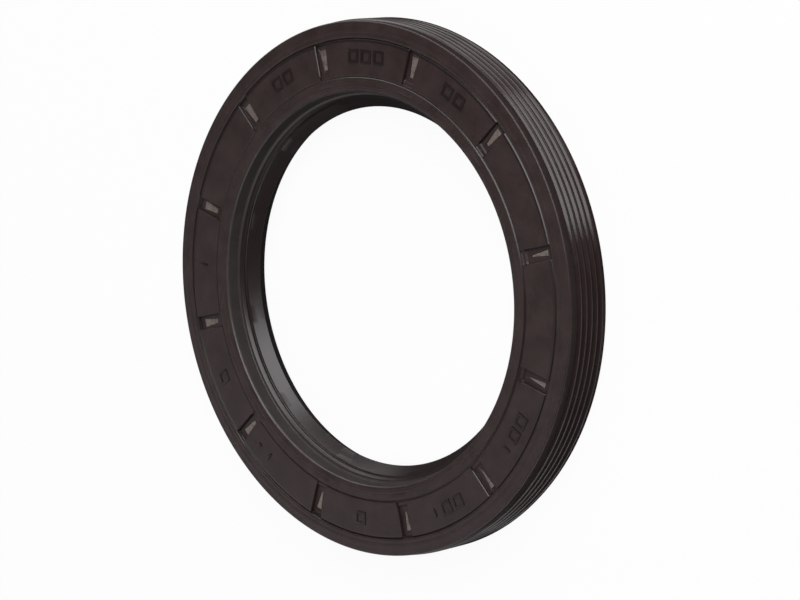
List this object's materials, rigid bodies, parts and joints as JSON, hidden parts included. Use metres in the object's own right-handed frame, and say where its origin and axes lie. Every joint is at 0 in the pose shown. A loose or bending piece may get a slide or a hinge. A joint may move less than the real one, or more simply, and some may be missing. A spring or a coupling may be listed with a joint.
{
  "type": "radial shaft seal",
  "caption": "Rubber-covered radial shaft seal with a ribbed outer sleeve, slotted closed face, sealing lip and garter spring.",
  "frame": {"origin": "on the seal's axis, in the plane of its open oil side, which it lies on", "axes": "+Z along the axis, out of the closed slotted face; +X through the middle of one slot"},
  "size_m": [0.0804, 0.0804, 0.008],
  "materials": {
    "elastomer": "moulded dark brown elastomer, fine matte face, glossier ribs and lip",
    "case_steel": "bare phosphated sheet steel",
    "spring_steel": "bright drawn wire, close coiled"
  },
  "bodies": {
    "root": {"seal_body": "elastomer", "case_ring": "case_steel", "garter_spring": "spring_steel"}
  },
  "joints": []
}
